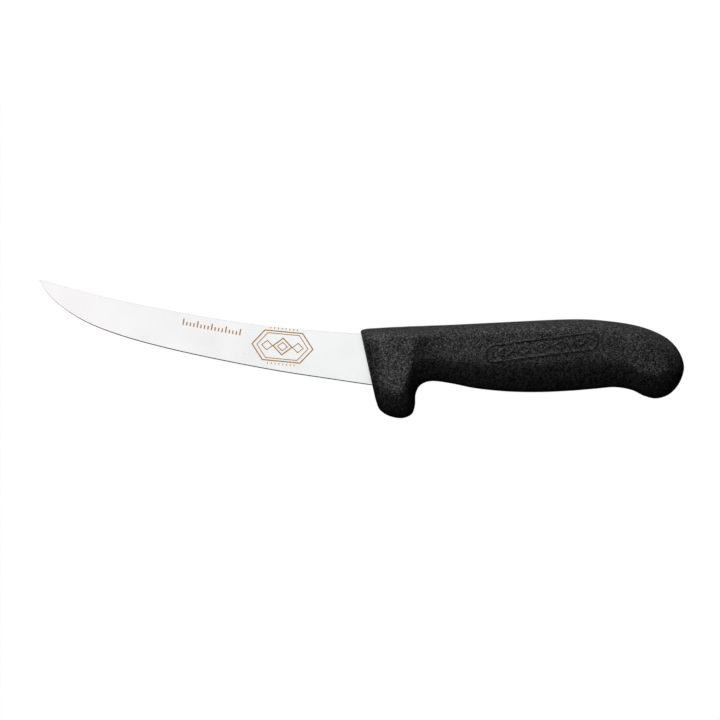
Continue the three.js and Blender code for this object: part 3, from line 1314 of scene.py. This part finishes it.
    def inner_rings(self, blade: Blade) -> list[np.ndarray]:
        """Rings of the front face, the slot and the cavity that the core fills, front to butt."""
        rim = self.side(0.0, self.edge_radius)
        slot = self.slot_side(rim, blade)
        rings = []
        for j in range(1, self.face_steps + 1):
            share = j / self.face_steps
            rings.append(self.ring(rim + (slot - rim) * share))
        deep = slot + (self.front_wall, 0, 0)
        rings.append(self.ring(deep))
        mouth = self.side(self.mouth_station, self.wall)
        mouth[:, 0] = self.front_u(mouth[:, 1]) + self.front_wall
        rings.append(self.ring(mouth))
        count = math.ceil((self.end - self.cavity_station) * self.cavity_steps)
        for station in np.linspace(self.cavity_station, self.end, count):
            rings.append(self.ring(self.side(float(station), self.wall)))
        return rings

    def build(self, drawing: Drawing, blade: Blade) -> list[bpy.types.Object]:
        """Makes and dresses the grip, and ties it to the frame.

        Args:
            drawing: places the millimetres.
            blade: the blade that passes through the front face.

        Returns:
            The grip, in a list.
        """
        draft = MeshDraft()
        draft.loft([*self.outer_rings(), *self.inner_rings(blade)])
        grip = draft.finish("handle_grip_skin", drawing)
        crease(grip, self.crease_angle)
        dress(grip, self.finish.material())
        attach(grip, ROOT_BODY)
        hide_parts("handle_grip")
        return [grip]


# ---- Studio ---------------------------------------------------------------------------


class Lit(Enum):
    """What a softbox lights."""

    STEEL = "steel"
    GRIP = "grip"

    def group(self) -> bpy.types.Collection:
        """The pieces that are lit, as a collection that is made when it is first asked for."""
        found = bpy.data.collections.get(self.value)
        return found or bpy.data.collections.new(self.value)


@dataclass(frozen=True)
class Softbox:
    """A rectangular studio light.

    place is its centre and aim the point that it faces, in metres. size is its width and
    its height, and radiance how bright its face is.
    """

    name: str
    place: tuple[float, float, float]
    aim: tuple[float, float, float]
    size: Pair
    radiance: float
    lit: Lit

    def build(self) -> bpy.types.Object:
        """Makes the light."""
        lamp = bpy.data.lights.new(self.name, "AREA")
        lamp.shape = "RECTANGLE"
        lamp.size, lamp.size_y = self.size
        lamp.energy = self.radiance * math.pi * self.size[0] * self.size[1]
        light = add_object(self.name, lamp)
        light.location = self.place
        towards = Vector(self.aim) - Vector(self.place)
        light.rotation_euler = towards.to_track_quat("-Z", "Y").to_euler()
        light.visible_camera = False
        light.light_linking.receiver_collection = self.lit.group()
        return light


@dataclass
class Studio:
    """A white sweep, softboxes over and behind the knife, and a camera overhead."""

    floor_reach: float = 3.0
    floor_steps: int = 24
    floor_drop: float = 0.00005
    camera_height: float = 2.4
    view_width: float = 0.3204
    view_centre: Pair = (-0.0007, -0.0049)
    sensor: float = 36.0
    clip_end: float = 20.0
    ambient: float = 0.03

    softboxes: tuple[Softbox, ...] = (
        Softbox("spine_side", (-0.5, 1.25, 0.45), (-0.2, 0.0, 0.0), (2.2, 0.8), 1.5, Lit.GRIP),
        Softbox("over_grip", (-0.14, 0.42, 0.5), (-0.14, 0.42, 0.0), (0.36, 1.12), 2.5, Lit.GRIP),
        Softbox("over_steel", (0.0, 0.2, 0.9), (0.0, 0.2, 0.0), (1.6, 0.94), 1.02, Lit.STEEL),
        Softbox("spine_card", (0.0, 1.2, 0.7), (0.0, 0.0, 0.0), (2.4, 0.9), 0.7, Lit.STEEL),
        Softbox("edge_card", (0.0, -1.2, 0.4), (0.0, 0.0, 0.0), (2.4, 0.6), 0.5, Lit.STEEL),
        Softbox("tip_card", (-1.3, 0.0, 0.45), (0.0, 0.0, 0.0), (1.6, 0.7), 0.5, Lit.STEEL),
        Softbox("butt_card", (1.3, 0.0, 0.45), (0.0, 0.0, 0.0), (1.6, 0.7), 0.5, Lit.STEEL),
    )
    finish: StudioFloor = StudioFloor()

    def build_floor(self) -> bpy.types.Object:
        """Makes the sweep that the knife lies on."""
        shape = bmesh.new()
        steps = self.floor_steps
        bmesh.ops.create_grid(shape, x_segments=steps, y_segments=steps, size=self.floor_reach)
        for vertex in shape.verts:
            vertex.co.z = CAD_BOX[0].z - self.floor_drop
        mesh = bpy.data.meshes.new("floor")
        shape.to_mesh(mesh)
        shape.free()
        floor = add_object("floor", mesh)
        dress(floor, self.finish.material())
        return floor

    def build_world(self) -> None:
        """Makes the surroundings: white to the camera and dim to every other ray."""
        world = bpy.data.worlds.new("studio")
        world.use_nodes = True
        sheet = NodeSheet(world.node_tree)
        background = world.node_tree.nodes["Background"]
        path = sheet.add("ShaderNodeLightPath")
        strength = Finish.span(sheet, path.outputs["Is Camera Ray"], (0, 1), (self.ambient, 1.0))
        sheet.join(strength, background.inputs["Strength"])
        background.inputs["Color"].default_value = (1, 1, 1, 1)
        bpy.context.scene.world = world

    def build_camera(self) -> bpy.types.Object:
        """Makes the camera, straight above the knife's upper cheek."""
        lens = bpy.data.cameras.new("camera")
        lens.sensor_width = self.sensor
        lens.lens = self.sensor * self.camera_height / self.view_width
        lens.clip_end = self.clip_end
        camera = add_object("camera", lens)
        middle = (CAD_BOX[0] + CAD_BOX[1]) / 2
        height = middle.z + self.camera_height
        camera.location = (middle.x + self.view_centre[0], middle.y + self.view_centre[1], height)
        bpy.context.scene.camera = camera
        return camera

    def build(self) -> list[bpy.types.Object]:
        """Makes the camera, the floor, the lights and the surroundings."""
        camera = self.build_camera()
        floor = self.build_floor()
        lights = [softbox.build() for softbox in self.softboxes]
        self.build_world()
        bpy.context.scene.view_settings.view_transform = "Standard"
        return [camera, floor, *lights]


# ---- The knife ------------------------------------------------------------------------


def report(title: str, pieces: list[bpy.types.Object], lit: Lit | None = None) -> None:
    """Logs the pieces of a sub-assembly, and shows them to the lights that are theirs.

    Args:
        title: what the sub-assembly is called.
        pieces: its pieces.
        lit: the lights that are theirs, if any.
    """
    for piece in pieces:
        if lit is not None:
            lit.group().objects.link(piece)
        faces = len(piece.data.polygons) if piece.type == "MESH" else 0
        log.info("%s: %s, %d faces", title, piece.name, faces)


def main() -> None:
    """Builds the studio and the knife in order, and reports each piece."""
    logging.basicConfig(level=logging.INFO, format="%(name)s: %(message)s")
    studio = Studio()
    drawing = Drawing()
    blade = Blade()
    report("studio", studio.build())
    report("blade", blade.build(drawing), Lit.STEEL)
    report("handle core", HandleCore().build(), Lit.GRIP)
    report("handle grip", HandleGrip().build(drawing, blade), Lit.GRIP)


if __name__ == "__main__":
    main()
